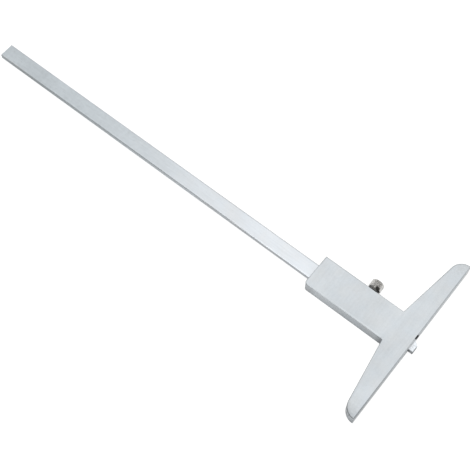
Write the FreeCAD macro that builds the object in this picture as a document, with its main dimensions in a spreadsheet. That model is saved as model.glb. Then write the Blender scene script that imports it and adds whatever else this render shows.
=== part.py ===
import FreeCAD, Part
import math
import os
import Sketcher
from FreeCAD import Placement, Rotation, Vector

# Vernier depth gauge, 0 to 200 mm, with a 100 mm base. Millimetres.
# Origin: the middle of the lapped measuring face. +X runs up the beam, away from the workpiece,
# +Y across the base, +Z out of the plain back. The scale side is -Z.

doc = FreeCAD.newDocument("depth_gauge")

SIZES = [
    # T-shaped base with its stem, one forging
    ("thickness", 7.6), ("base_width", 100.0), ("tip_rise", 6.54), ("root_rise", 12.66),
    ("stem_width", 18.4), ("stem_length", 60.05), ("tip_radius", 7.0), ("stem_corner_radius", 1.6),
    ("root_radius", 0.8), ("face_chamfer", 0.55), ("edge_chamfer", 0.18),
    # way for the beam, seat for the cover and recess for the leaf spring
    ("slot_near", 4.4), ("slot_far", 4.7), ("way_clearance", 0.05), ("seat_end", 58.05),
    ("seat_width", 16.0), ("seat_radius", 2.0), ("recess_start", 7.5), ("recess_end", 55.5),
    ("recess_depth", 0.5), ("relief_depth", 1.0), ("relief_top", 3.4), ("relief_low", 4.0), ("relief_high", 0.95),
    # beam
    ("beam_width", 8.5), ("beam_thickness", 3.2), ("beam_length", 277.85), ("beam_reach", 2.65),
    ("beam_side_gap", 0.04), ("tip_cut_across", 4.75), ("tip_cut_along", 5.2), ("beam_edge", 0.3), ("beam_end_edge", 0.12),
    # cover and vernier plate
    ("plate_gap", 0.03), ("cover_setback", 0.05), ("window_start", 7.9), ("window_end", 53.1), ("rail_edge", 3.3),
    ("vernier_start", 8.0), ("vernier_end", 53.0), ("vernier_inner", 0.5), ("vernier_bevel_end", 3.4),
    ("vernier_thickness", 1.25), ("vernier_lip", 0.3),
    # small screws, 1.6 mm thread
    ("cover_screw_low", 4.95), ("cover_screw_high", 55.55), ("cover_screw_side", 6.15),
    ("small_thread_radius", 0.8), ("small_thread_depth", 3.2), ("small_head_radius", 1.4),
    ("vernier_screw_low", 14.0), ("vernier_screw_high", 47.0), ("vernier_screw_side", 6.15),
    ("round_head_radius", 1.35), ("round_head_height", 0.8), ("slot_cut", 0.36),
    # lock screw, 3 mm thread with 0.5 mm pitch
    ("lock_place", 31.5), ("lock_thread_radius", 1.5), ("thread_clearance", 0.04),
    ("head_radius", 3.4), ("head_inner", 10.0), ("collar_outer", 11.0), ("collar_radius", 3.0),
    ("knurl_outer", 15.1), ("head_outer", 15.5), ("head_end_radius", 3.0), ("neck_radius", 2.1),
    ("screw_tip", 6.02), ("knurl_depth", 0.2), ("knurl_count", 36.0),
    ("pad_face", 4.8), ("pad_length", 1.2),
    # leaf spring and its two set screws
    ("spring_thickness", 0.3), ("spring_height", 2.6), ("spring_half_length", 23.0),
    ("spring_bow", 0.565), ("spring_crown", 4.615),
    ("set_screw_offset", 18.0), ("set_screw_radius", 1.25), ("set_screw_tip", 4.44),
    ("set_screw_outer", 8.7), ("press_clearance", 0.02),
]

sheet = doc.addObject("Spreadsheet::Sheet", "dims")
VALUE = {}
for row, (word, number) in enumerate(SIZES, start=1):
    sheet.set("A%d" % row, word)
    sheet.set("B%d" % row, repr(number))
    sheet.setAlias("B%d" % row, word)
    VALUE[word] = number
doc.recompute()


class Size:
    """A length with the expression that keeps it tied to the sheet."""

    def __init__(self, value, text):
        self.value, self.text = float(value), text

    def _of(self, other):
        return other if isinstance(other, Size) else Size(other, repr(float(other)))

    def __add__(self, other):
        other = self._of(other)
        return Size(self.value + other.value, "(%s + %s)" % (self.text, other.text))

    def __sub__(self, other):
        other = self._of(other)
        return Size(self.value - other.value, "(%s - %s)" % (self.text, other.text))

    def __mul__(self, other):
        other = self._of(other)
        return Size(self.value * other.value, "(%s * %s)" % (self.text, other.text))

    def __truediv__(self, other):
        other = self._of(other)
        return Size(self.value / other.value, "(%s / %s)" % (self.text, other.text))

    def __neg__(self):
        return Size(-self.value, "(0 - %s)" % self.text)


def S(word):
    return Size(VALUE[word], "dims." + word)


def K(number):
    return Size(number, repr(float(number)))


def body(label):
    b = doc.addObject("PartDesign::Body", label)
    b.Label = label
    return b


def plane(b, role):
    return [f for f in b.Origin.OriginFeatures if f.Role == role][0]


def sketch(b, name, role="XY_Plane", offset=None):
    sk = b.newObject("Sketcher::SketchObject", name)
    sk.AttachmentSupport = [(plane(b, role), "")]
    sk.MapMode = "FlatFace"
    if offset is not None:
        sk.AttachmentOffset = Placement(Vector(0, 0, offset.value), Rotation())
        sk.setExpression("AttachmentOffset.Base.z", offset.text)
    return sk


def place_point(sk, geo, pos, x, y):
    """Ties one point of the sketch to the sheet in both directions."""
    for kind, size, axis in (("DistanceX", x, -2), ("DistanceY", y, -1)):
        if abs(size.value) < 1e-9:
            sk.addConstraint(Sketcher.Constraint("PointOnObject", geo, pos, axis))
        else:
            n = sk.addConstraint(Sketcher.Constraint(kind, -1, 1, geo, pos, size.value))
            sk.setExpression("Constraints[%d]" % n, size.text)


def polygon(sk, points):
    """A closed outline of straight edges, each corner tied to the sheet."""
    n = len(points)
    for i in range(n):
        (x0, y0), (x1, y1) = points[i], points[(i + 1) % n]
        sk.addGeometry(Part.LineSegment(Vector(x0.value, y0.value, 0), Vector(x1.value, y1.value, 0)), False)
    base = sk.GeometryCount - n
    for i in range(n):
        sk.addConstraint(Sketcher.Constraint("Coincident", base + i, 2, base + (i + 1) % n, 1))
    for i, (x, y) in enumerate(points):
        place_point(sk, base + i, 1, x, y)
    return sk


def rectangle(sk, x0, x1, y0, y1):
    return polygon(sk, [(x0, y0), (x1, y0), (x1, y1), (x0, y1)])


def circle(sk, x, y, radius):
    g = sk.addGeometry(Part.Circle(Vector(x.value, y.value, 0), Vector(0, 0, 1), radius.value), False)
    n = sk.addConstraint(Sketcher.Constraint("Radius", g, radius.value))
    sk.setExpression("Constraints[%d]" % n, radius.text)
    place_point(sk, g, 3, x, y)
    return sk


def pad(b, sk, length, name, reverse=False):
    f = b.newObject("PartDesign::Pad", name)
    f.Profile = sk
    f.Length = length.value
    f.setExpression("Length", length.text)
    f.Reversed = reverse
    doc.recompute()
    return f


def pocket(b, sk, length, name, reverse=False):
    before = b.Shape.Volume
    f = b.newObject("PartDesign::Pocket", name)
    f.Profile = sk
    f.Length = length.value
    f.setExpression("Length", length.text)
    f.Reversed = reverse
    doc.recompute()
    if not b.Shape.Volume < before - 1e-6:
        raise SystemExit("%s cuts nothing" % name)
    return f


def edges_where(shape, test):
    """Names of the edges whose end points and middle pass the test."""
    names = []
    for i, e in enumerate(shape.Edges, start=1):
        a, c = e.Vertexes[0].Point, e.Vertexes[-1].Point
        m = e.valueAt((e.FirstParameter + e.LastParameter) / 2)
        if test(a, c, m, e):
            names.append("Edge%d" % i)
    return names


def dress(b, kind, name, size, test):
    base = b.Tip
    names = edges_where(base.Shape, test)
    if not names:
        raise SystemExit("%s finds no edge" % name)
    f = b.newObject("PartDesign::" + kind, name)
    f.Base = (base, names)
    prop = "Radius" if kind == "Fillet" else "Size"
    setattr(f, prop, size.value)
    f.setExpression(prop, size.text)
    doc.recompute()
    return f


def upright_at(x, y, tol=0.02):
    return lambda a, c, m, e: (
        abs(a.x - c.x) < 1e-4 and abs(a.y - c.y) < 1e-4 and abs(m.x - x) < tol and abs(m.y - y) < tol
    )


half_t = S("thickness") / 2
half_w = S("base_width") / 2
half_s = S("stem_width") / 2
slot_near, slot_far = S("slot_near"), S("slot_far")
half_beam_t = S("beam_thickness") / 2
way_top = half_beam_t + S("way_clearance")
front = -half_t
seat_floor = -way_top
half_seat = S("seat_width") / 2
zero = K(0)

# ---------------------------------------------------------------- base frame
base = body("base_frame")
sk = polygon(sketch(base, "base_outline", offset=front), [
    (zero, -half_w), (S("tip_rise"), -half_w), (S("root_rise"), -half_s), (S("stem_length"), -half_s),
    (S("stem_length"), half_s), (S("root_rise"), half_s), (S("tip_rise"), half_w), (zero, half_w),
])
pad(base, sk, S("thickness"), "base_blank")
t2, w2, s2 = VALUE["thickness"] / 2, VALUE["base_width"] / 2, VALUE["stem_width"] / 2
dress(base, "Fillet", "wing_tips", S("tip_radius"), lambda a, c, m, e: (
    upright_at(VALUE["tip_rise"], w2)(a, c, m, e) or upright_at(VALUE["tip_rise"], -w2)(a, c, m, e)))
dress(base, "Fillet", "stem_corner", S("stem_corner_radius"), upright_at(VALUE["stem_length"], s2))
dress(base, "Fillet", "wing_roots", S("root_radius"), lambda a, c, m, e: (
    upright_at(VALUE["root_rise"], s2)(a, c, m, e) or upright_at(VALUE["root_rise"], -s2)(a, c, m, e)))
dress(base, "Chamfer", "back_edges", S("edge_chamfer"), lambda a, c, m, e: (
    abs(a.z - t2) < 1e-4 and abs(c.z - t2) < 1e-4 and abs(m.z - t2) < 1e-4
    and not (abs(a.x) < 1e-4 and abs(c.x) < 1e-4)))
# the edge between the back and the measuring face is broken more than the other edges of the back
fc = S("face_chamfer")
sk = polygon(sketch(base, "measuring_edge_outline", "XZ_Plane", offset=half_w + 1), [
    (K(-1), half_t - fc - 1), (fc + 1, half_t + 1), (K(-1), half_t + 1),
])
pocket(base, sk, S("base_width") + 2, "measuring_edge")
dress(base, "Chamfer", "front_edges", S("edge_chamfer"), lambda a, c, m, e: (
    abs(a.z + t2) < 1e-4 and abs(c.z + t2) < 1e-4 and abs(m.z + t2) < 1e-4))
# way for the beam, milled from the front and open at both ends
sk = rectangle(sketch(base, "way_outline", offset=front), K(-1), S("stem_length") + 1, -slot_near, slot_far)
pocket(base, sk, half_t + way_top, "beam_way", reverse=True)
# relief beside the beam where the way opens in the measuring face, black in the photo
sk = rectangle(sketch(base, "relief_outline", offset=front), K(-1), S("relief_depth"), -S("relief_low"), -S("relief_high"))
pocket(base, sk, half_t + S("relief_top"), "mouth_relief", reverse=True)
# flat seat for the cover and the vernier plate, open at the measuring face
sk = rectangle(sketch(base, "seat_outline", offset=front), K(-1), S("seat_end"), -half_seat, half_seat)
pocket(base, sk, half_t - way_top, "cover_seat", reverse=True)
dress(base, "Fillet", "seat_corners", S("seat_radius"), lambda a, c, m, e: (
    abs(a.x - c.x) < 1e-4 and abs(a.y - c.y) < 1e-4 and abs(abs(m.y) - VALUE["seat_width"] / 2) < 1e-3
    and abs(m.x - VALUE["seat_end"]) < 1e-3 and m.z < 0))
# recess beside the way, where the leaf spring sits
sk = rectangle(sketch(base, "recess_outline", offset=seat_floor), S("recess_start"), S("recess_end"),
               -(slot_near + S("recess_depth")), -(slot_near - 0.2))
pocket(base, sk, way_top * 2, "spring_recess", reverse=True)
# threaded hole for the lock screw and two for the set screws, all from the -Y side
sk = circle(sketch(base, "lock_hole_outline", "XZ_Plane", offset=half_s + 1), S("lock_place"), zero, S("lock_thread_radius"))
pocket(base, sk, half_s + 1 - slot_near + 0.2, "lock_hole")
for i, sign in enumerate((-1, 1), start=1):
    sk = circle(sketch(base, "set_hole_outline_%d" % i, "XZ_Plane", offset=half_s + 1),
                S("lock_place") + S("set_screw_offset") * sign, zero, S("set_screw_radius"))
    pocket(base, sk, half_s + 1 - slot_near + 0.2, "set_hole_%d" % i)
dress(base, "Chamfer", "hole_mouths", K(0.25), lambda a, c, m, e: (
    e.Curve.TypeId == "Part::GeomCircle" and abs(a.y + s2) < 1e-3 and abs(c.y + s2) < 1e-3 and abs(m.y + s2) < 1e-3))
# blind tapped holes in the seat
places = [(S("cover_screw_low"), S("cover_screw_side")), (S("cover_screw_low"), -S("cover_screw_side")),
          (S("cover_screw_high"), S("cover_screw_side")), (S("cover_screw_high"), -S("cover_screw_side"))]
vernier_places = [(S("vernier_screw_low"), S("vernier_screw_side")), (S("vernier_screw_high"), S("vernier_screw_side"))]
for i, (x, y) in enumerate(places + vernier_places, start=1):
    sk = circle(sketch(base, "tapped_outline_%d" % i, offset=seat_floor - 0.5), x, y, S("small_thread_radius"))
    pocket(base, sk, S("small_thread_depth") + 0.5, "tapped_hole_%d" % i, reverse=True)

# ---------------------------------------------------------------- beam
beam = body("main_beam")
beam_high = slot_far - S("beam_side_gap")
beam_low = beam_high - S("beam_width")
tip = -S("beam_reach")
sk = polygon(sketch(beam, "beam_outline", offset=-half_beam_t), [
    (tip, beam_low + S("tip_cut_across")), (tip + S("tip_cut_along"), beam_low),
    (tip + S("beam_length"), beam_low), (tip + S("beam_length"), beam_high), (tip, beam_high),
])
pad(beam, sk, S("beam_thickness"), "beam_bar")
dress(beam, "Chamfer", "beam_edges", S("beam_edge"), lambda a, c, m, e: (
    abs(a.y - c.y) < 1e-4 and abs(a.x - c.x) > 50))
far_x = VALUE["beam_length"] - VALUE["beam_reach"]
dress(beam, "Chamfer", "beam_far_end", S("beam_end_edge"), lambda a, c, m, e: (
    abs(a.x - far_x) < 1e-4 and abs(c.x - far_x) < 1e-4 and abs(a.z - c.z) < 1e-4 and abs(a.y - c.y) > 4))

# ---------------------------------------------------------------- front cover
cover = body("front_cover")
gap = S("plate_gap")
cover_front = front
side = half_seat - gap
x0, x1 = S("cover_setback"), S("seat_end") - gap
sk = polygon(sketch(cover, "cover_outline", offset=cover_front), [
    (x0, -side), (x1, -side), (x1, side), (S("window_end"), side), (S("window_end"), -S("rail_edge")),
    (S("window_start"), -S("rail_edge")), (S("window_start"), side), (x0, side),
])
pad(cover, sk, half_t - way_top, "cover_blank")
sx1, sy = x1.value, side.value
dress(cover, "Fillet", "cover_corners", S("seat_radius") + 0.1, lambda a, c, m, e: any(
    upright_at(sx1, py)(a, c, m, e) for py in (-sy, sy)))
dress(cover, "Fillet", "window_corners", K(0.8), lambda a, c, m, e: any(
    upright_at(px, -VALUE["rail_edge"])(a, c, m, e) for px in (VALUE["window_start"], VALUE["window_end"])))
dress(cover, "Chamfer", "cover_front_edges", K(0.2), lambda a, c, m, e: (
    abs(a.z + t2) < 1e-4 and abs(c.z + t2) < 1e-4 and abs(m.z + t2) < 1e-4))
cone_depth = S("small_head_radius") - S("small_thread_radius")
for i, (x, y) in enumerate(places, start=1):
    sk = circle(sketch(cover, "screw_way_outline_%d" % i, offset=front - 1), x, y, S("small_thread_radius") + 0.08)
    pocket(cover, sk, S("thickness"), "screw_way_%d" % i, reverse=True)
dress(cover, "Chamfer", "countersinks", cone_depth + 0.02, lambda a, c, m, e: (
    e.Curve.TypeId == "Part::GeomCircle" and abs(e.Curve.Radius - (VALUE["small_thread_radius"] + 0.08)) < 1e-3
    and abs(m.z + t2) < 1e-3))


def group(label, shapes, words):
    """A set of like fasteners: one node, each fastener a solid of its own."""
    f = doc.addObject("Part::Feature", label)
    f.Label = label
    f.Shape = Part.makeCompound(shapes)
    return f


def lathe(profile):
    """A solid of revolution about the local Z axis, from (radius, height) points."""
    pts = [Vector(r, 0, z) for r, z in profile]
    wire = Part.makePolygon(pts + [pts[0]])
    return Part.Face(wire).revolve(Vector(0, 0, 0), Vector(0, 0, 1), 360)


# ---------------------------------------------------------------- cover screws, countersunk, slotted
v = VALUE
thread_r = v["small_thread_radius"] - v["press_clearance"]
head_r = v["small_head_radius"]
seat_z = -(v["beam_thickness"] / 2 + v["way_clearance"])
screws = []
for x, y in places:
    top = -t2 + 0.02
    cone = head_r - thread_r
    s = lathe([(0, 0), (head_r, 0), (head_r, 0.06), (thread_r, 0.06 + cone), (thread_r, seat_z - top + 2.6),
               (thread_r - 0.25, seat_z - top + 2.85), (0, seat_z - top + 2.85)])
    s = s.cut(Part.makeBox(4, v["slot_cut"], 0.36, Vector(-2, -v["slot_cut"] / 2, -0.01)))
    s.rotate(Vector(0, 0, 0), Vector(0, 0, 1), 27.0 + 71.0 * len(screws))
    s.translate(Vector(x.value, y.value, top))
    screws.append(s)
group("cover_screws", screws, "four")

# ---------------------------------------------------------------- vernier plate, bevelled towards the beam
vern = body("vernier_plate")
lip = S("vernier_lip")
sk = polygon(sketch(vern, "vernier_section", "YZ_Plane", offset=S("vernier_start")), [
    (S("vernier_inner"), seat_floor), (side, seat_floor), (side, seat_floor - S("vernier_thickness")),
    (S("vernier_bevel_end"), seat_floor - S("vernier_thickness")), (S("vernier_inner"), seat_floor - lip),
])
pad(vern, sk, S("vernier_end") - S("vernier_start"), "vernier_blank")
for i, (x, y) in enumerate(vernier_places, start=1):
    sk = circle(sketch(vern, "vernier_way_outline_%d" % i, offset=front - 1), x, y, S("small_thread_radius") + 0.12)
    pocket(vern, sk, S("thickness"), "vernier_way_%d" % i, reverse=True)
dress(vern, "Chamfer", "vernier_edges", K(0.12), lambda a, c, m, e: (
    abs(a.z - (seat_z - v["vernier_thickness"])) < 1e-4 and abs(c.z - (seat_z - v["vernier_thickness"])) < 1e-4
    and abs(m.y - v["vernier_bevel_end"]) > 0.5 and e.Curve.TypeId == "Part::GeomLine" and abs(a.y - c.y) + abs(a.x - c.x) > 1))

# ---------------------------------------------------------------- vernier screws, round head, slotted
screws = []
for x, y in vernier_places:
    hr, hh = v["round_head_radius"], v["round_head_height"]
    head_z = seat_z - v["vernier_thickness"]
    s = lathe([(0, -hh), (hr - 0.35, -hh), (hr - 0.1, -hh + 0.12), (hr, -hh + 0.4), (hr, 0), (thread_r, 0),
               (thread_r, v["vernier_thickness"] + 2.2), (thread_r - 0.25, v["vernier_thickness"] + 2.45),
               (0, v["vernier_thickness"] + 2.45)])
    s = s.cut(Part.makeBox(4, v["slot_cut"], 0.4, Vector(-2, -v["slot_cut"] / 2, -hh - 0.01)))
    s.rotate(Vector(0, 0, 0), Vector(0, 0, 1), 12.0 + 48.0 * len(screws))
    s.translate(Vector(x.value, y.value, head_z))
    screws.append(s)
group("vernier_screws", screws, "two")

# ---------------------------------------------------------------- lock screw, built about its own axis
lock = body("lock_screw")
tr = S("lock_thread_radius") - S("thread_clearance")
sk = polygon(sketch(lock, "lock_profile"), [
    (zero, -S("head_outer")), (S("head_end_radius"), -S("head_outer")),
    (S("head_radius"), -S("knurl_outer")), (S("head_radius"), -(S("collar_outer") + 0.3)),
    (S("collar_radius"), -(S("collar_outer") - 0.1)), (S("collar_radius"), -(S("head_inner") + 0.25)),
    (S("collar_radius") - 0.25, -S("head_inner")), (S("neck_radius"), -S("head_inner")),
    (S("neck_radius"), -(half_s + 0.7)), (tr, -(half_s + 0.7)), (tr, -(S("screw_tip") + 0.3)),
    (tr - 0.3, -S("screw_tip")), (zero, -S("screw_tip")),
])
rev = lock.newObject("PartDesign::Revolution", "lock_turned")
rev.Profile = sk
rev.ReferenceAxis = (sk, ["V_Axis"])
rev.Angle = 360.0
doc.recompute()
# straight knurl: one V groove, repeated round the head
hr, kd = v["head_radius"], v["knurl_depth"]
knurl_half = math.pi * hr / v["knurl_count"] * 0.8
sk = polygon(sketch(lock, "knurl_groove", "XZ_Plane", offset=S("head_outer") + 0.5), [
    (S("head_radius") - S("knurl_depth"), zero), (S("head_radius") + 0.3, -K(knurl_half * (kd + 0.3) / kd)),
    (S("head_radius") + 0.3, K(knurl_half * (kd + 0.3) / kd)),
])
groove = pocket(lock, sk, S("head_outer") + 0.5 - S("collar_outer") - 0.05, "knurl_cut")
pat = lock.newObject("PartDesign::PolarPattern", "knurl")
pat.Originals = [groove]
pat.Axis = (plane(lock, "Y_Axis"), [""])
pat.Angle = 360.0
pat.Occurrences = int(v["knurl_count"])
pat.setExpression("Occurrences", "dims.knurl_count")
lock.Tip = pat
doc.recompute()
lock.Placement = Placement(Vector(v["lock_place"], 0, 0), Rotation())
lock.setExpression(".Placement.Base.x", "dims.lock_place")

# ---------------------------------------------------------------- thrust pad, a brass plug ahead of the screw
tpad = body("thrust_pad")
sk = polygon(sketch(tpad, "pad_profile"), [
    (zero, -S("pad_face")), (tr - 0.2, -S("pad_face")), (tr, -(S("pad_face") + 0.2)),
    (tr, -(S("pad_face") + S("pad_length") - 0.15)), (tr - 0.15, -(S("pad_face") + S("pad_length"))),
    (zero, -(S("pad_face") + S("pad_length"))),
])
rev = tpad.newObject("PartDesign::Revolution", "pad_turned")
rev.Profile = sk
rev.ReferenceAxis = (sk, ["V_Axis"])
rev.Angle = 360.0
doc.recompute()
tpad.Placement = Placement(Vector(v["lock_place"], 0, 0), Rotation())
tpad.setExpression(".Placement.Base.x", "dims.lock_place")

# ---------------------------------------------------------------- leaf spring, a bowed strip
# Its crown bears on the pad, its ends press on the beam. The strip is two concentric arcs.
half_len, bow, th = v["spring_half_length"], v["spring_bow"], v["spring_thickness"]
radius = (half_len ** 2 + bow ** 2) / (2 * bow)
cx, cy = v["lock_place"], -v["spring_crown"] + radius
sweep = math.asin(half_len / radius)


def on_arc(r, angle):
    return Vector(cx + r * math.sin(angle), cy - r * math.cos(angle), -v["spring_height"] / 2)


outer = Part.Arc(on_arc(radius + th / 2, -sweep), on_arc(radius + th / 2, 0), on_arc(radius + th / 2, sweep)).toShape()
inner = Part.Arc(on_arc(radius - th / 2, sweep), on_arc(radius - th / 2, 0), on_arc(radius - th / 2, -sweep)).toShape()
end_a = Part.LineSegment(on_arc(radius + th / 2, sweep), on_arc(radius - th / 2, sweep)).toShape()
end_b = Part.LineSegment(on_arc(radius - th / 2, -sweep), on_arc(radius + th / 2, -sweep)).toShape()
strip = Part.Face(Part.Wire([outer, end_a, inner, end_b])).extrude(Vector(0, 0, v["spring_height"]))
spring = doc.addObject("Part::Feature", "leaf_spring")
spring.Label = "leaf_spring"
spring.Shape = strip

# ---------------------------------------------------------------- set screws, headless, slotted
screws = []
sr = v["set_screw_radius"] - v["press_clearance"]
for sign in (-1, 1):
    long = v["set_screw_outer"] - v["set_screw_tip"]
    s = lathe([(0, 0), (sr - 0.5, 0), (sr, 0.5), (sr, long - 0.2), (sr - 0.2, long), (0, long)])
    s = s.cut(Part.makeBox(4, 0.4, 0.7, Vector(-2, -0.2, long - 0.69)))
    s.rotate(Vector(0, 0, 0), Vector(0, 0, 1), 35.0 + 60.0 * len(screws))
    # the local axis points out of the -Y side
    s.rotate(Vector(0, 0, 0), Vector(1, 0, 0), 90.0)
    s.translate(Vector(v["lock_place"] + sign * v["set_screw_offset"], -v["set_screw_tip"], 0))
    screws.append(s)
group("spring_set_screws", screws, "two")

# ---------------------------------------------------------------- checks and files
doc.recompute()
NODES = ["base_frame", "front_cover", "cover_screws", "vernier_plate", "vernier_screws", "main_beam",
         "leaf_spring", "spring_set_screws", "thrust_pad", "lock_screw"]
bad = [o.Label for o in doc.Objects if any(word in o.State for word in ("Invalid", "Error"))]
if bad:
    raise SystemExit("failed objects: %s" % bad)
os.makedirs("parts", exist_ok=True)
for name in NODES:
    o = [q for q in doc.Objects if q.Label == name][0]
    if o.Shape.isNull() or not o.Shape.isValid():
        raise SystemExit("bad shape: %s" % name)
for name in NODES:
    o = [q for q in doc.Objects if q.Label == name][0]
    o.Shape.exportStep("parts/%s.step" % name)
    bb = o.Shape.BoundBox
    print("%-18s solids %d volume %10.2f  x %.2f..%.2f  y %.2f..%.2f  z %.2f..%.2f" % (
        name, len(o.Shape.Solids), o.Shape.Volume, bb.XMin, bb.XMax, bb.YMin, bb.YMax, bb.ZMin, bb.ZMax))
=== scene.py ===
import math

import bmesh
import bpy
from mathutils import Matrix, Vector


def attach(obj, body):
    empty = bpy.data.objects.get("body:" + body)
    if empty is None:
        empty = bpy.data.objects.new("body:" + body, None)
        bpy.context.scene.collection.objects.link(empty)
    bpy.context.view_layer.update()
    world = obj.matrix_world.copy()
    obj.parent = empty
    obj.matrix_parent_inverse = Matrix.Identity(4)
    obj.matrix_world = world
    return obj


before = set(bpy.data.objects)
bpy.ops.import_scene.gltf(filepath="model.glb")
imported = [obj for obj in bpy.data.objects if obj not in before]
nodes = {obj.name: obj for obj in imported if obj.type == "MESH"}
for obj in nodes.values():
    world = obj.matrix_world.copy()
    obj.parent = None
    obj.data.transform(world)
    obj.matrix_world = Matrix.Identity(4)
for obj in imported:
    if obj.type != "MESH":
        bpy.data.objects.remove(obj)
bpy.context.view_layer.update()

MM = 0.001
scene = bpy.context.scene


# ---------------------------------------------------------------- camera

camera_data = bpy.data.cameras.new("camera")
camera_data.sensor_fit = "HORIZONTAL"
camera_data.sensor_width = 36.0
camera_data.lens = 79.44
camera_data.clip_start = 0.01
camera_data.clip_end = 20.0
camera = bpy.data.objects.new("camera", camera_data)
scene.collection.objects.link(camera)
camera.matrix_world = Matrix(
    (
        (-0.77933796, 0.56664171, -0.26748741, -0.0376994),
        (-0.62660381, -0.70476015, 0.33268724, 0.1859318),
        (0.0, 0.42688443, 0.90430619, 0.4809391),
        (0.0, 0.0, 0.0, 1.0),
    )
)
scene.camera = camera

scene.view_settings.view_transform = "Standard"
scene.view_settings.look = "None"
scene.view_settings.exposure = 0.0
scene.view_settings.gamma = 1.0


# ---------------------------------------------------------------- node helpers


class Finish:
    """A principled material whose patterns are laid out in millimetres of the piece's own coordinates."""

    def __init__(self, name, metallic, **fixed):
        self.material = bpy.data.materials.new(name)
        self.material.use_nodes = True
        self.tree = self.material.node_tree
        self.tree.nodes.clear()
        out = self.new("ShaderNodeOutputMaterial")
        self.shader = self.new("ShaderNodeBsdfPrincipled")
        self.shader.inputs["Metallic"].default_value = metallic
        for socket, value in fixed.items():
            self.shader.inputs[socket.replace("_", " ")].default_value = value
        self.join(self.shader.outputs["BSDF"], out.inputs["Surface"])
        coordinates = self.new("ShaderNodeTexCoord")
        self.own_normal = coordinates.outputs["Normal"]
        self.mm = self.vector("SCALE", coordinates.outputs["Object"], 1 / MM)
        self.geometry = self.new("ShaderNodeNewGeometry")

    def new(self, kind, **settings):
        made = self.tree.nodes.new(kind)
        for key, value in settings.items():
            setattr(made, key, value)
        return made

    def join(self, a, b):
        self.tree.links.new(a, b)

    def put(self, socket, value):
        if isinstance(value, bpy.types.NodeSocket):
            self.join(value, socket)
        else:
            socket.default_value = value

    def vector(self, operation, a, b=None):
        n = self.new("ShaderNodeVectorMath", operation=operation)
        self.put(n.inputs[0], a)
        if operation == "SCALE":
            self.put(n.inputs["Scale"], b)
        elif b is not None:
            self.put(n.inputs[1], b)
        return n.outputs["Value" if operation in ("DOT_PRODUCT", "LENGTH", "DISTANCE") else "Vector"]

    def math(self, operation, a, b=None, c=None, clamp=False):
        n = self.new("ShaderNodeMath", operation=operation, use_clamp=clamp)
        for i, v in enumerate((a, b, c)):
            if v is not None:
                self.put(n.inputs[i], v)
        return n.outputs[0]

    def parts(self, vector):
        n = self.new("ShaderNodeSeparateXYZ")
        self.join(vector, n.inputs[0])
        return n.outputs

    def ramp(self, value, a, b, low=0.0, high=1.0, smooth=False):
        n = self.new("ShaderNodeMapRange", clamp=True)
        n.interpolation_type = "SMOOTHSTEP" if smooth else "LINEAR"
        for name, v in (("Value", value), ("From Min", a), ("From Max", b), ("To Min", low), ("To Max", high)):
            self.put(n.inputs[name], v)
        return n.outputs["Result"]

    def noise(self, per_mm, detail=3.0, roughness=0.5, stretch=(1, 1, 1), shift=(0, 0, 0), distortion=0.0):
        where = self.vector("MULTIPLY", self.vector("ADD", self.mm, shift), stretch)
        n = self.new("ShaderNodeTexNoise")
        self.join(where, n.inputs["Vector"])
        n.inputs["Scale"].default_value = per_mm
        n.inputs["Detail"].default_value = detail
        n.inputs["Roughness"].default_value = roughness
        n.inputs["Distortion"].default_value = distortion
        return n.outputs["Fac"]

    def mix(self, factor, a, b):
        n = self.new("ShaderNodeMix", data_type="RGBA")
        self.put(n.inputs[0], factor)
        for i, v in ((6, a), (7, b)):
            self.put(n.inputs[i], (*v, 1.0) if isinstance(v, tuple) and len(v) == 3 else v)
        return n.outputs[2]

    def blend(self, factor, a, b):
        n = self.new("ShaderNodeMix", data_type="FLOAT")
        for i, v in ((0, factor), (2, a), (3, b)):
            self.put(n.inputs[i], v)
        return n.outputs[0]

    def product(self, *values):
        result = values[0]
        for v in values[1:]:
            result = self.math("MULTIPLY", result, v)
        return result

    def between(self, value, low, high, soft=0.03):
        """1 where low < value < high, fading over the soft width."""
        return self.math("MULTIPLY", self.ramp(value, low - soft, low + soft), self.ramp(value, high + soft, high - soft))

    def edges(self, radius_mm, samples=6):
        """Near 1 on a convex or hollow edge, 0 on an open face, and the softened normal."""
        n = self.new("ShaderNodeBevel", samples=samples)
        n.inputs["Radius"].default_value = radius_mm * MM
        turned = self.vector("DOT_PRODUCT", n.outputs["Normal"], self.geometry.outputs["Normal"])
        return self.ramp(turned, 0.995, 0.86), n.outputs["Normal"]

    def bump(self, height, strength, depth_mm, normal=None):
        n = self.new("ShaderNodeBump")
        n.inputs["Strength"].default_value = strength
        n.inputs["Distance"].default_value = depth_mm * MM
        self.join(height, n.inputs["Height"])
        if normal is not None:
            self.join(normal, n.inputs["Normal"])
        return n.outputs["Normal"]

    def finish(self, colour, roughness, normal):
        self.join(colour, self.shader.inputs["Base Color"])
        self.join(roughness, self.shader.inputs["Roughness"])
        self.join(normal, self.shader.inputs["Normal"])
        return self.material


def shade(colour, by):
    return tuple(c * by for c in colour)


# ---------------------------------------------------------------- materials


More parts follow.
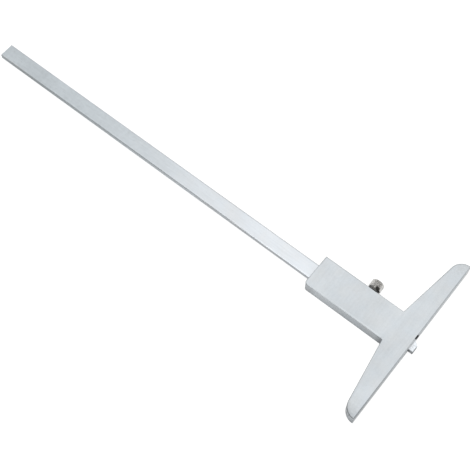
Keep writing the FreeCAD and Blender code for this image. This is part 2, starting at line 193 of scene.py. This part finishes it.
def ground_steel(name, colour, grain_axis, rough=0.34, mottle=0.038, streak=0.016, grain=0.032, edge_mm=0.12, chamfer_shade_tone=0.45, chamfer_light_tone=0.95, local=None, tail=None):
    """Satin chrome over ground steel: cloudy mottling, soft streaks, fine grinding lines along one axis,
    chamfers with painted shade where they face -Y and painted light where they face +Y, worn corners and a few handling
    marks."""
    f = Finish(name, 1.0)

    def stretch(along, across):
        return tuple(along if i == grain_axis else across for i in range(3))

    clouds = f.noise(0.55, 3.0, 0.6, distortion=0.5)
    haze = f.noise(0.07, 2.0, 0.5, shift=(31, 7, 3))
    streaks = f.noise(1.0, 4.0, 0.6, stretch=stretch(0.09, 1.1), shift=(2, 9, 4))
    lines = f.noise(1.0, 3.0, 0.7, stretch=stretch(0.10, 7.0))
    speckle = f.noise(5.0, 2.0, 0.5)
    tone = 1.0
    for part, size in ((clouds, mottle), (haze, mottle * 0.8), (streaks, streak), (lines, grain), (speckle, grain * 0.6)):
        tone = f.math("MULTIPLY_ADD", f.math("SUBTRACT", part, 0.5), size * 8, tone)
    nx, ny, nz = f.parts(f.own_normal)
    tilt = f.math("ABSOLUTE", nz)
    # painted shade and light: chamfers facing -Y are painted darker and chamfers facing +Y lighter
    chamfer = f.math("MULTIPLY", f.ramp(tilt, 0.96, 0.88), f.ramp(tilt, 0.25, 0.45))
    tone = f.math("MULTIPLY", tone, f.blend(chamfer, 1.0, f.ramp(ny, -0.2, 0.5, chamfer_shade_tone, chamfer_light_tone)))
    worn, soft = f.edges(edge_mm)
    worn = f.product(worn, f.math("SUBTRACT", 1.0, chamfer), f.ramp(f.noise(0.9, 3.0, 0.6, shift=(5, 5, 5)), 0.40, 0.65))
    tone = f.math("MULTIPLY_ADD", worn, 0.08, tone)
    scuffs = f.ramp(f.noise(0.8, 5.0, 0.7, shift=(11, 2, 0), distortion=1.5), 0.64, 0.72)
    rough_out = f.math("ADD", f.ramp(clouds, 0.3, 0.7, rough - 0.04, rough + 0.05), f.math("MULTIPLY", f.math("SUBTRACT", lines, 0.5), 0.16))
    rough_out = f.math("SUBTRACT", rough_out, f.math("MULTIPLY", scuffs, 0.05))
    rough_out = f.math("SUBTRACT", rough_out, f.math("MULTIPLY", f.math("MAXIMUM", worn, chamfer), rough * 0.4))
    if local is not None:
        tone, rough_out = local(f, tone, rough_out)
    height = f.math("ADD", f.math("MULTIPLY", lines, 0.65), f.math("MULTIPLY", speckle, 0.35))
    patches = f.ramp(f.noise(0.16, 2.0, 0.5, shift=(9, 5, 1)), 0.3, 0.7)
    warm, cool = (tuple(c * t for c, t in zip(colour, hue)) for hue in ((1.011, 1.0, 0.989), (0.989, 1.0, 1.011)))
    tinted = f.mix(patches, warm, cool)
    if tail is not None:
        tinted = f.mix(f.ramp(f.parts(f.mm)[0], 110.0, 210.0), tinted, f.mix(patches, shade(tail, 0.995), tail))
    return f.finish(f.vector("SCALE", tinted, tone), rough_out, f.bump(height, 0.30, 0.006, soft))


def frame_details(f, tone, rough):
    """Painted shade in the way and the relief, the lapped measuring face and its chamfer painted lighter, painted shade
    and highlights round the stem and the wing tips, and painted shade in the roots of the wings and along the foot of
    the sides."""
    x, y, z = f.parts(f.mm)
    nx, ny, nz = f.parts(f.own_normal)
    out = f.math("ABSOLUTE", y)
    flank = f.ramp(f.math("ABSOLUTE", nz), 0.35, 0.10)
    back = f.ramp(nz, 0.90, 0.98)
    front_strip = f.ramp(x, 0.62, 0.56)
    chamfer = f.math("MULTIPLY", f.ramp(nz, 0.5, 0.6), f.ramp(nz, 0.9, 0.8))
    lapped = f.math("MULTIPLY", f.ramp(nx, -0.90, -0.98), f.ramp(x, 0.06, 0.02))
    edge = f.math("MULTIPLY", front_strip, chamfer)
    # painted light: the lapped measuring face is painted lighter, most at -Y, less from +Y 8 on, a little more again at
    # the -Y tip; its low roughness is the lapped finish
    tone = f.math("MULTIPLY", tone, f.blend(lapped, 1.0, f.product(f.ramp(y, -46.0, 46.0, 1.70, 1.28), f.ramp(y, 8.0, 28.0, 1.0, 0.90), f.ramp(y, -43.0, -47.0, 1.0, 1.10))))
    rough = f.blend(lapped, rough, 0.16)
    # painted light: the chamfer along the measuring face is painted about twice as light, less so towards the +Y tip, a
    # little more at the -Y tip
    tone = f.math("MULTIPLY", tone, f.blend(edge, 1.0, f.product(f.ramp(y, -46.0, -17.0, 1.93, 2.07), f.ramp(y, 14.0, 47.0, 1.0, 0.70), f.ramp(y, -43.0, -47.0, 1.0, 1.14))))
    # painted shade and highlights: the stem's +Y and -Y edges and far end, the edge round the +Y tip, and the lip over
    # the beam and the relief
    on_stem = f.ramp(x, 13.4, 13.6)
    # painted shade: the stem's +Y chamfer is painted darker
    stem_chamfer_painted_shade = f.product(f.between(y, 8.6, 9.4, 0.1), chamfer, on_stem)
    tone = f.math("MULTIPLY", tone, f.blend(stem_chamfer_painted_shade, 1.0, 0.66))
    # painted highlight: a lighter band along the back by the stem's +Y edge
    painted_highlight = f.product(f.between(y, 8.15, 8.95, 0.08), back, f.ramp(x, 14.0, 16.0), f.ramp(x, 42.0, 36.0))
    tone = f.math("MULTIPLY", tone, f.blend(painted_highlight, 1.0, 1.08))
    # painted shade: the stem's -Y chamfer is painted darker from x 30 on
    far_chamfer_painted_shade = f.product(f.ramp(ny, -0.3, -0.5), chamfer, f.ramp(x, 30.0, 40.0))
    tone = f.math("MULTIPLY", tone, f.blend(far_chamfer_painted_shade, 1.0, 0.50))
    # painted shade: the back is painted darker at the corner by the stem's far end and along the stem's -Y edge
    corner = f.math("MAXIMUM", f.product(f.ramp(x, 59.1, 59.5), f.ramp(y, -3.4, -4.6)), f.product(f.ramp(y, -8.45, -8.75), f.ramp(x, 33.0, 42.0), f.ramp(y, -9.3, -9.2)))
    tone = f.math("MULTIPLY", tone, f.blend(f.math("MULTIPLY", corner, back), 1.0, 0.90))
    # painted light and shade: the chamfer at the stem's far end is painted much lighter over the beam and darker beside
    # it
    far_end_painted_light_and_shade = f.product(f.ramp(nx, 0.3, 0.5), chamfer, f.ramp(x, 59.2, 59.6))
    tone = f.math("MULTIPLY", tone, f.blend(far_end_painted_light_and_shade, 1.0, f.ramp(out, 4.9, 4.4, 0.72, 1.75)))
    # painted shade: the chamfer round the +Y tip is painted dark, darkest at its very end
    tip_chamfer_painted_shade = f.product(f.ramp(y, 36.0, 46.0), chamfer, f.math("SUBTRACT", 1.0, front_strip))
    tone = f.math("MULTIPLY", tone, f.blend(tip_chamfer_painted_shade, 1.0, f.ramp(y, 45.5, 48.5, 0.34, 0.20)))
    # painted shade: the measuring face over the beam is painted dark low down and a little lighter at the top
    over = f.product(f.between(y, -1.1, 5.2, 0.3), front_strip, f.ramp(z, 3.79, 3.75))
    tone = f.math("MULTIPLY", tone, f.blend(over, 1.0, f.ramp(z, 3.0, 3.3, 0.40, 1.12)))
    # painted shade: the measuring face above the relief is painted near black
    lip_painted_shade = f.product(f.between(y, -3.60, -1.05, 0.15), front_strip, f.ramp(z, 3.79, 3.76))
    tone = f.math("MULTIPLY", tone, f.blend(lip_painted_shade, 1.0, 0.16))
    # back: painted shade and light, a little darker at the tips and towards -Y, lighter at the end of the stem and
    # towards the +Y wing
    back_painted_light_and_shade = f.product(f.ramp(y, 43.5, 48.5, 1.0, 0.85), f.ramp(y, -43.0, -49.5, 1.0, 0.94), f.ramp(x, 25.0, 60.0, 1.0, 1.06), f.ramp(y, 10.0, 36.0, 1.0, 1.045), f.ramp(y, -10.0, -30.0, 1.0, 0.975))
    tone = f.math("MULTIPLY", tone, f.blend(back, 1.0, back_painted_light_and_shade))
    # both wings: painted shade along the edge round their tips, and marked by handling
    from_round = f.math("SQRT", f.math("ADD", f.math("POWER", f.math("SUBTRACT", x, 0.51), 2.0), f.math("POWER", f.math("SUBTRACT", out, 43.0), 2.0)))
    past_line = f.math("MULTIPLY_ADD", f.math("SUBTRACT", 50.0, out), -0.148, f.math("MULTIPLY", f.math("SUBTRACT", x, 6.54), 0.989))
    at_round = f.ramp(out, 42.5, 43.5)
    upward = f.math("MULTIPLY", f.ramp(nz, 0.5, 0.6), f.ramp(x, 0.6, 1.0))
    narrow_tip_painted_shade = f.product(f.math("MAXIMUM", f.math("MULTIPLY", f.ramp(from_round, 6.25, 6.55), at_round), f.math("MULTIPLY", f.ramp(past_line, -0.75, -0.45), f.ramp(y, -24.0, -34.0))), upward, f.ramp(y, -20.0, -22.0))
    tone = f.math("MULTIPLY", tone, f.blend(narrow_tip_painted_shade, 1.0, f.ramp(y, -40.0, -46.0, 0.90, 0.84)))
    wide_tip_painted_shade = f.product(f.math("MAXIMUM", f.math("MULTIPLY", f.ramp(from_round, 5.3, 6.5), at_round), f.math("MULTIPLY", f.ramp(past_line, -1.6, -0.5), f.ramp(y, 26.0, 36.0))), upward, f.ramp(y, 20.0, 22.0))
    tone = f.math("MULTIPLY", tone, f.blend(wide_tip_painted_shade, 1.0, 0.91))
    handled = f.product(back, f.ramp(out, 38.0, 44.0))
    tone = f.math("MULTIPLY", tone, f.blend(handled, 1.0, f.ramp(f.noise(1.2, 3.0, 0.65, shift=(3, 3, 8)), 0.36, 0.64, 0.935, 1.05)))
    # sides: painted shade and light on both sides of the stem, dark at the root of the wings, lighter along the stem,
    # darker at its far end and lower down
    stem_side = f.product(flank, f.between(out, 8.5, 9.4, 0.1), f.ramp(x, 12.4, 12.6))
    along = f.product(f.ramp(x, 12.6, 16.5, 0.56, 1.14), f.ramp(x, 16.0, 53.0, 1.0, 1.20), f.ramp(x, 53.0, 57.0, 1.0, 0.82), f.ramp(z, -3.0, 0.0, 0.90, 1.0))
    tone = f.math("MULTIPLY", tone, f.blend(stem_side, 1.0, along))
    # painted shade: all sides are painted darker along their foot
    tone = f.math("MULTIPLY", tone, f.blend(flank, 1.0, f.ramp(z, -3.78, -3.1, 0.72, 1.0)))
    # the rounded end face of the +Y wing: filed strokes, and painted shade darker at its foot
    filed_and_painted_shade = f.product(flank, f.ramp(y, 43.0, 46.0), f.ramp(x, 0.1, 0.4))
    strokes = f.ramp(f.noise(1.0, 3.0, 0.6, stretch=(1.1, 1.1, 0.30)), 0.36, 0.64, 0.62, 1.34)
    tone = f.math("MULTIPLY", tone, f.blend(filed_and_painted_shade, 1.0, f.math("MULTIPLY", strokes, f.ramp(z, -3.2, -1.6, 0.62, 1.04))))
    # way and relief, machined, painted near black as painted shade
    way = f.math("MULTIPLY", f.ramp(out, 4.80, 4.75), f.ramp(z, 1.72, 1.67))
    relief = f.product(f.between(y, -4.03, -0.92, 0.02), f.between(x, 0.03, 1.05, 0.02), f.ramp(z, 3.44, 3.41))
    recess_painted_shade = f.math("MAXIMUM", way, relief)
    tone = f.blend(recess_painted_shade, tone, f.ramp(f.noise(0.8, 3.0, 0.6), 0.3, 0.7, 0.05, 0.12))
    rough = f.blend(recess_painted_shade, rough, 0.6)
    return tone, rough


def beam_details(f, tone, rough):
    """The sawn and ground tip, with painted shade on its sides where they pass the measuring face and on its end faces,
    painted shade on the sides towards the tail, and the edges and back painted lighter and darker along the length.
    """
    x, y, z = f.parts(f.mm)
    nx, ny, nz = f.parts(f.own_normal)
    flank = f.ramp(f.math("ABSOLUTE", nz), 0.35, 0.10)
    side = f.math("MULTIPLY", flank, f.ramp(f.math("ABSOLUTE", ny), 0.8, 0.9))
    # painted shade and light: the sides are painted a little lighter near x 145, darker towards the tail, and dark on
    # the tip next to the measuring face
    tone = f.math("MULTIPLY", tone, f.blend(side, 1.0, f.product(f.ramp(x, 100.0, 145.0, 0.97, 1.06), f.ramp(x, 155.0, 250.0, 1.0, 0.655), f.ramp(x, -1.8, -0.1, 0.62, 0.36))))
    # inside the base the sides are brought back to about their plain tone
    tone = f.math("MULTIPLY", tone, f.blend(f.math("MULTIPLY", side, f.ramp(x, -0.05, 0.2)), 1.0, 2.7))
    # painted highlight and shade: the +Y chamfer is painted darker on its lower half, at the tip and near the stem, and
    # lighter towards the tail
    edge = f.product(f.ramp(nz, 0.5, 0.6), f.ramp(nz, 0.9, 0.8), f.ramp(ny, 0.3, 0.5))
    edge_painted_light_and_shade = f.product(f.ramp(z, 1.38, 1.50, 0.58, 1.0), f.ramp(x, 60.0, 90.0, 0.84, 1.05), f.ramp(x, 180.0, 260.0, 1.0, 1.30), f.ramp(x, 235.0, 272.0, 1.0, 1.20), f.ramp(x, -0.1, 0.3, 0.45, 1.0))
    tone = f.math("MULTIPLY", tone, f.blend(edge, 1.0, edge_painted_light_and_shade))
    # painted shade and light: the -Y chamfer is painted darker up to x 130 and lighter from x 200
    far_edge_painted_light_and_shade = f.product(f.ramp(nz, 0.5, 0.6), f.ramp(nz, 0.9, 0.8), f.ramp(ny, -0.3, -0.5))
    tone = f.math("MULTIPLY", tone, f.blend(far_edge_painted_light_and_shade, 1.0, f.ramp(x, 130.0, 200.0, 0.78, 1.10)))
    # painted light and shade: the back is painted a little darker along the middle and lighter towards the tail
    tone = f.math("MULTIPLY", tone, f.blend(f.ramp(nz, 0.9, 0.98), 1.0, f.math("MULTIPLY", f.ramp(x, 70.0, 150.0, 1.0, 0.972), f.ramp(x, 160.0, 260.0, 1.0, 1.085))))
    # painted shade and highlight: the back is painted a little darker by its -Y edge and lighter by its +Y edge, from
    # past the measuring face to about x 190
    rims_painted_light_and_shade = f.product(f.ramp(y, -2.75, -3.15, 1.0, 0.955), f.ramp(y, 3.55, 3.85, 1.0, 1.035))
    tone = f.math("MULTIPLY", tone, f.blend(f.product(f.ramp(nz, 0.9, 0.98), f.ramp(x, 190.0, 130.0), f.ramp(x, 0.5, 2.0)), 1.0, rims_painted_light_and_shade))
    # a darker line along the back at the tip's end, on its +Y part
    end_line_dark = f.product(f.ramp(nz, 0.9, 0.98), f.ramp(x, -2.32, -2.42), f.ramp(y, 0.4, 0.9))
    tone = f.math("MULTIPLY", tone, f.blend(end_line_dark, 1.0, 0.42))
    # painted shade: the end faces are painted dark, darkest towards +Y
    end_face_painted_shade = f.math("MULTIPLY", flank, f.ramp(nx, -0.5, -0.8))
    tone = f.math("MULTIPLY", tone, f.blend(end_face_painted_shade, 1.0, f.ramp(y, 0.5, 3.5, 0.34, 0.12)))
    tone = f.math("MULTIPLY", tone, f.blend(f.math("MULTIPLY", f.ramp(nz, 0.9, 0.98), f.ramp(x, -0.1, -0.4)), 1.0, f.ramp(f.noise(1.1, 2.0, 0.5, shift=(6, 2, 2)), 0.38, 0.62, 0.92, 1.16)))
    return tone, rough


def turned_steel(name, colour, rough=0.28, ring_mm=0.09):
    """A small screw: fine turning lines and edges worn bright."""
    f = Finish(name, 1.0)
    x, y, z = f.parts(f.mm)
    rings = f.noise(1.0, 3.0, 0.5, stretch=(1.4, 1.4, 1 / ring_mm))
    stain = f.noise(1.3, 3.0, 0.6)
    plain = f.mix(f.ramp(f.math("ADD", f.math("MULTIPLY", rings, 0.5), f.math("MULTIPLY", stain, 0.5)), 0.3, 0.7), shade(colour, 0.8), shade(colour, 1.15))
    edge, soft = f.edges(0.09)
    colour_out = f.mix(f.math("MULTIPLY", edge, 0.7), plain, shade(colour, 1.4))
    smooth = f.ramp(stain, 0.3, 0.7, rough - 0.05, rough + 0.08)
    return f.finish(colour_out, smooth, f.bump(rings, 0.3, 0.006, soft))


def knurled_chrome(name):
    """The lock screw: bright plated head, a painted dark reflection on the neck, the collar and patches of the knurl,
    darker low in the knurl, painted highlights on the knurl's sides.
    """
    f = Finish(name, 1.0)
    x, y, z = f.parts(f.mm)
    across = f.math("SUBTRACT", 31.5, x)
    from_axis = f.math("SQRT", f.math("ADD", f.math("POWER", across, 2.0), f.math("POWER", z, 2.0)))
    turn = f.math("DEGREES", f.math("ARCTAN2", across, z))
    groove = f.ramp(from_axis, 3.37, 3.22)
    on_knurl = f.math("MULTIPLY", f.ramp(y, -10.9, -11.1), f.ramp(y, -15.3, -15.15))
    # darker low in the knurl, except under the painted highlights
    groove_dark = f.product(groove, on_knurl, f.ramp(f.noise(1.1, 3.0, 0.6), 0.3, 0.6, 0.35, 1.0))
    ragged = f.math("MULTIPLY", f.math("SUBTRACT", f.noise(1.3, 3.0, 0.6), 0.5), 1.3)
    # painted reflection: the neck and collar next to the stem, and two patches of the knurl beside them, are painted
    # near black and dark grey as a dark reflection
    neck = f.ramp(f.math("ADD", y, ragged), -11.05, -10.75)
    collar = f.math("MULTIPLY", f.ramp(f.math("ADD", y, f.math("MULTIPLY", ragged, 0.4)), -10.45, -10.15), f.ramp(f.noise(1.2, 3.0, 0.6, shift=(4, 1, 7)), 0.34, 0.5, 0.25, 1.0))
    painted_dark_reflection = f.math("MAXIMUM",
                   f.math("MULTIPLY", f.between(turn, 8.0, 52.0, 7.0), f.ramp(f.math("ADD", y, ragged), -12.55, -12.15)),
                   f.math("MULTIPLY", f.between(turn, 40.0, 84.0, 6.0), f.ramp(f.math("ADD", y, ragged), -11.5, -11.2)))
    black = f.math("MAXIMUM", neck, painted_dark_reflection)
    end = f.ramp(f.parts(f.own_normal)[1], -0.80, -0.92)
    # painted highlight: the knurl is painted near white on two sides of the screw, less on the second, not on the end
    painted_highlight = f.math("MAXIMUM", f.product(f.ramp(turn, 46.0, 60.0), f.ramp(turn, 128.0, 112.0)), f.product(f.ramp(turn, -38.0, -58.0), f.ramp(turn, -130.0, -110.0), 0.75))
    painted_highlight = f.math("MULTIPLY", painted_highlight, f.math("SUBTRACT", 1.0, end))
    stain = f.noise(1.8, 4.0, 0.65)
    plain = f.mix(f.ramp(stain, 0.38, 0.60), (0.32, 0.312, 0.30), (0.84, 0.83, 0.81))
    plain = f.mix(f.math("MULTIPLY", painted_highlight, 0.92), plain, (0.97, 0.955, 0.93))
    rings = f.math("MULTIPLY_ADD", f.math("SINE", f.math("MULTIPLY_ADD", from_axis, 48.0, f.math("MULTIPLY", stain, 5.0))), 0.5, 0.5)
    faced = f.mix(f.math("ADD", f.math("MULTIPLY", rings, 0.25), f.ramp(stain, 0.3, 0.7, 0.0, 0.75)), (0.50, 0.49, 0.475), (0.66, 0.65, 0.635))
    plain = f.vector("SCALE", plain, f.ramp(f.noise(1.6, 2.0, 0.5, shift=(1, 6, 3)), 0.38, 0.62, 0.80, 1.14))
    plain = f.mix(end, plain, faced)
    edge, soft = f.edges(0.08)
    plain = f.mix(f.math("MULTIPLY", edge, 0.5), plain, (0.90, 0.885, 0.86))
    plain = f.mix(f.math("MULTIPLY", groove_dark, f.math("MULTIPLY_ADD", painted_highlight, -0.88, 1.0)), plain, (0.075, 0.07, 0.062))
    # colours of the painted dark reflection, near black
    dark_reflection_colour = f.mix(f.ramp(f.noise(2.0, 3.0, 0.6, shift=(8, 2, 2)), 0.40, 0.62), (0.020, 0.019, 0.018), (0.105, 0.102, 0.098))
    colour_out = f.mix(black, plain, f.mix(collar, dark_reflection_colour, (0.37, 0.36, 0.345)))
    smooth = f.math("ADD", f.ramp(stain, 0.3, 0.7, 0.15, 0.26), f.math("MULTIPLY", f.math("MAXIMUM", groove_dark, black), 0.28))
    fine = f.blend(end, f.noise(7.0, 3.0, 0.5), f.math("MULTIPLY_ADD", rings, 0.5, 0.25))
    return f.finish(colour_out, smooth, f.bump(fine, 0.2, 0.01, soft))


def strip_metal(name, low, high, rough, stretch):
    """Rolled or turned bronze and brass: drawn lines, slight tarnish in clouds."""
    f = Finish(name, 1.0)
    lines = f.noise(1.0, 3.0, 0.6, stretch=stretch)
    tarnish = f.noise(0.5, 4.0, 0.6)
    tone = f.ramp(f.math("ADD", f.math("MULTIPLY", lines, 0.5), f.math("MULTIPLY", tarnish, 0.5)), 0.3, 0.7)
    edge, soft = f.edges(0.08)
    colour_out = f.mix(f.math("MULTIPLY", edge, 0.6), f.mix(tone, low, high), shade(high, 1.2))
    return f.finish(colour_out, f.ramp(tarnish, 0.3, 0.7, rough - 0.05, rough + 0.1), f.bump(lines, 0.3, 0.006, soft))


def black_fill(name):
    """Wax filled into the engraved lines: near black, slightly uneven."""
    f = Finish(name, 0.0)
    uneven = f.noise(3.0, 3.0, 0.6)
    colour_out = f.mix(f.ramp(uneven, 0.3, 0.7), (0.010, 0.010, 0.011), (0.035, 0.035, 0.036))
    return f.finish(colour_out, f.ramp(uneven, 0.3, 0.7, 0.45, 0.65), f.bump(uneven, 0.2, 0.004))


STEEL = (0.530, 0.560, 0.582)
BEAM = (0.670, 0.700, 0.730)

base_steel = ground_steel("base_steel", STEEL, 1, local=frame_details)
cover_steel = ground_steel("cover_steel", shade(STEEL, 0.97), 0, rough=0.32, mottle=0.026, streak=0.036, grain=0.05)
beam_steel = ground_steel("beam_steel", BEAM, 0, rough=0.33, mottle=0.028, streak=0.018, grain=0.043, chamfer_shade_tone=0.65, chamfer_light_tone=1.0, local=beam_details, tail=(0.652, 0.704, 0.738))
scale_chrome = ground_steel("scale_chrome", (0.60, 0.61, 0.615), 0, rough=0.42, mottle=0.018, streak=0.014, grain=0.022)
screw_steel = turned_steel("screw_steel", (0.50, 0.505, 0.51))
lock_chrome = knurled_chrome("lock_chrome")
spring_bronze = strip_metal("spring_bronze", (0.42, 0.24, 0.11), (0.62, 0.40, 0.20), 0.32, (0.08, 4.0, 4.0))
pad_brass = strip_metal("pad_brass", (0.55, 0.40, 0.16), (0.78, 0.60, 0.28), 0.30, (3.0, 9.0, 3.0))
graduation_black = black_fill("graduation_black")

finishes = {
    "base_frame": base_steel,
    "front_cover": cover_steel,
    "cover_screws": screw_steel,
    "vernier_plate": scale_chrome,
    "vernier_screws": screw_steel,
    "main_beam": beam_steel,
    "leaf_spring": spring_bronze,
    "spring_set_screws": screw_steel,
    "thrust_pad": pad_brass,
    "lock_screw": lock_chrome,
}
for name, material in finishes.items():
    mesh_slots = nodes[name].material_slots
    if not mesh_slots:
        nodes[name].data.materials.append(material)
    for one in mesh_slots:
        one.material = material


# ---------------------------------------------------------------- graduations


def bar(bm, origin, right, up, out, u0, u1, v0, v1, low, high):
    """A closed flat bar on a face: u along right, v along up, from low to high along out, all in millimetres."""
    corner = [
        bm.verts.new((origin + right * u + up * v + out * w) * MM)
        for w in (low, high)
        for u, v in ((u0, v0), (u1, v0), (u1, v1), (u0, v1))
    ]
    a, b, c, d, e, f, g, h = corner
    for face in ((d, c, b, a), (e, f, g, h), (a, b, f, e), (b, c, g, f), (c, d, h, g), (d, a, e, h)):
        bm.faces.new(face)


def figure(bm, text, origin, right, up, out, height, low, high):
    """Plain numerals as closed solids, centred on the origin."""
    curve = bpy.data.curves.new("figure", "FONT")
    curve.body = text
    curve.size = 1.0
    curve.align_x = "CENTER"
    curve.resolution_u = 3
    curve.extrude = 0.5
    curve.space_character = 1.04
    holder = bpy.data.objects.new("figure", curve)
    scene.collection.objects.link(holder)
    bpy.context.view_layer.update()
    mesh = bpy.data.meshes.new_from_object(holder.evaluated_get(bpy.context.evaluated_depsgraph_get()))
    bpy.data.objects.remove(holder)
    bpy.data.curves.remove(curve)
    one = bmesh.new()
    one.from_mesh(mesh)
    bpy.data.meshes.remove(mesh)
    bmesh.ops.remove_doubles(one, verts=one.verts, dist=1e-4)
    tall = 0.73
    for v in one.verts:
        u, w, h = v.co.x * height / tall, (v.co.y - tall / 2) * height / tall, v.co.z + 0.5
        v.co = (origin + right * u + up * w + out * (low + (high - low) * h)) * MM
    one.normal_update()
    keep = bpy.data.meshes.new("figure")
    one.to_mesh(keep)
    one.free()
    bm.from_mesh(keep)
    bpy.data.meshes.remove(keep)


def piece(name, bm, material, body):
    mesh = bpy.data.meshes.new(name)
    bmesh.ops.recalc_face_normals(bm, faces=bm.faces)
    bm.to_mesh(mesh)
    bm.free()
    mesh.materials.append(material)
    made = bpy.data.objects.new(name, mesh)
    scene.collection.objects.link(made)
    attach(made, body)
    return made


X, Y, Z = Vector((1, 0, 0)), Vector((0, 1, 0)), Vector((0, 0, 1))
LOW, HIGH = -0.02, 0.012
ZERO_X, READING = 10.5, 2.65

# Beam: millimetres from 0 to 240, so that 200 can be read against the whole vernier.
marks, figures = bmesh.new(), bmesh.new()
for r in range(0, 241):
    x = ZERO_X + r - READING
    length = 1.80 if r % 10 == 0 else 1.50 if r % 5 == 0 else 1.20
    bar(marks, Vector((x, 0.44, -1.6)), X, -Y, -Z, -0.045, 0.045, 0.0, length, LOW, HIGH)
    if r % 10 == 0:
        figure(figures, str(r), Vector((x, -2.10, -1.6)), X, -Y, -Z, 1.0, LOW, HIGH)
piece("beam_marks", marks, graduation_black, "beam")
piece("beam_figures", figures, graduation_black, "beam")

# Vernier: 20 divisions over 39 mm on the bevel, which falls from z -1.95 at y 0.5 to z -2.9 at y 3.4.
slope = Vector((0, 3.4 - 0.5, -2.9 + 1.95)).normalized()
face_out = X.cross(-slope)
foot = Vector((0, 0.5, -1.95))
marks, figures = bmesh.new(), bmesh.new()
for i in range(0, 21):
    x = ZERO_X + 1.95 * i
    length = 1.35 if i % 10 == 0 else 1.15 if i % 2 == 0 else 0.85
    bar(marks, foot + X * x + slope * 0.06, X, slope, face_out, -0.045, 0.045, 0.0, length, LOW, HIGH)
    if i % 2 == 0:
        figure(figures, str(i // 2), foot + X * x + slope * 2.05, X, -slope, face_out, 0.95, LOW, HIGH)
piece("vernier_marks", marks, graduation_black, "base")
piece("vernier_figures", figures, graduation_black, "base")


# ---------------------------------------------------------------- stage


def plain(name, albedo, glow):
    made = bpy.data.materials.new(name)
    made.use_nodes = True
    shader = made.node_tree.nodes["Principled BSDF"]
    shader.inputs["Base Color"].default_value = (albedo, albedo, albedo, 1.0)
    shader.inputs["Roughness"].default_value = 0.9
    shader.inputs["Specular IOR Level"].default_value = 0.0
    shader.inputs["Emission Color"].default_value = (1.0, 1.0, 1.0, 1.0)
    shader.inputs["Emission Strength"].default_value = glow
    return made


def lathe_sheet(name, profile, material, turns=64):
    """A smooth sheet of revolution about the vertical through the middle of the gauge."""
    mesh = bpy.data.meshes.new(name)
    bm = bmesh.new()
    rings = []
    for radius, z in profile:
        if radius == 0:
            rings.append([bm.verts.new((0.12, 0.0, z))])
        else:
            rings.append([
                bm.verts.new((0.12 + radius * math.cos(2 * math.pi * a / turns), radius * math.sin(2 * math.pi * a / turns), z))
                for a in range(turns)
            ])
    for low, high in zip(rings, rings[1:]):
        for a in range(turns):
            b = (a + 1) % turns
            if len(low) == 1:
                bm.faces.new((low[0], high[a], high[b]))
            else:
                bm.faces.new((low[b], low[a], high[a], high[b]))
    bm.to_mesh(mesh)
    bm.free()
    mesh.polygons.foreach_set("use_smooth", [True] * len(mesh.polygons))
    mesh.materials.append(material)
    made = bpy.data.objects.new(name, mesh)
    scene.collection.objects.link(made)
    return made


# A white sweep to look at, and a pale table top under it that the steel reflects.
TABLE = -3.815 * MM
bend = [(2.4 + 0.8 * math.sin(a), TABLE + 0.8 - 0.8 * math.cos(a)) for a in (math.radians(d) for d in range(0, 91, 10))]
sweep = lathe_sheet("sweep", [(0, TABLE), (0.5, TABLE), (1.5, TABLE)] + bend + [(3.2, 3.0)], plain("sweep", 0.45, 0.80))
for way in ("diffuse", "glossy", "transmission", "volume_scatter", "shadow"):
    setattr(sweep, "visible_" + way, False)
table = lathe_sheet("table", [(0, TABLE - 0.01 * MM), (0.5, TABLE - 0.01 * MM), (2.4, TABLE - 0.01 * MM)], plain("table", 0.62, 0.18))
table.visible_camera = False


def softbox(name, shape, size, size_y, place, aim, power, colour=(1.0, 1.0, 1.0)):
    data = bpy.data.lights.new(name, "AREA")
    data.shape = shape
    data.size = size
    if size_y:
        data.size_y = size_y
    data.energy = power
    data.color = colour
    made = bpy.data.objects.new(name, data)
    scene.collection.objects.link(made)
    made.location = place
    made.rotation_euler = (Vector(aim) - Vector(place)).to_track_quat("-Z", "Y").to_euler()
    made.visible_camera = False
    return made


# Power of an area light is pi times its area times the radiance wanted.
softbox("key", "DISK", 0.90, 0.0, (0.11, -0.36, 0.93), (0.06, 0.0, 0.0), math.pi * 0.636 * 0.68)
softbox("side", "RECTANGLE", 0.56, 0.36, (0.06, 0.80, 0.42), (0.06, 0.0, 0.0), math.pi * 0.56 * 0.36 * 1.9)

world = bpy.data.worlds.new("world")
scene.world = world
world.use_nodes = True
tree = world.node_tree
tree.nodes.clear()
output = tree.nodes.new("ShaderNodeOutputWorld")
light = tree.nodes.new("ShaderNodeBackground")
where = tree.nodes.new("ShaderNodeTexCoord")
split = tree.nodes.new("ShaderNodeSeparateXYZ")
tree.links.new(where.outputs["Generated"], split.inputs[0])


def level(kind, *values):
    made = tree.nodes.new("ShaderNodeMath")
    made.operation = kind
    for socket, value in zip(made.inputs, values):
        if isinstance(value, bpy.types.NodeSocket):
            tree.links.new(value, socket)
        else:
            socket.default_value = value
    return made.outputs[0]


# A bright room above, and a dim horizon that is darkest behind the camera.
horizon = level("MULTIPLY_ADD", split.outputs[0], -0.15, level("MULTIPLY_ADD", split.outputs[1], -0.32, 0.56))
rise = tree.nodes.new("ShaderNodeMapRange")
rise.clamp = True
rise.interpolation_type = "SMOOTHSTEP"
for socket, value in (("From Min", 0.20), ("From Max", 0.42), ("To Min", 0.0), ("To Max", 1.0)):
    rise.inputs[socket].default_value = value
tree.links.new(split.outputs[2], rise.inputs["Value"])
room = level("ADD", level("MULTIPLY", rise.outputs["Result"], 0.88), level("MULTIPLY", level("SUBTRACT", 1.0, rise.outputs["Result"]), horizon))
tree.links.new(room, light.inputs["Strength"])
tree.links.new(light.outputs["Background"], output.inputs["Surface"])
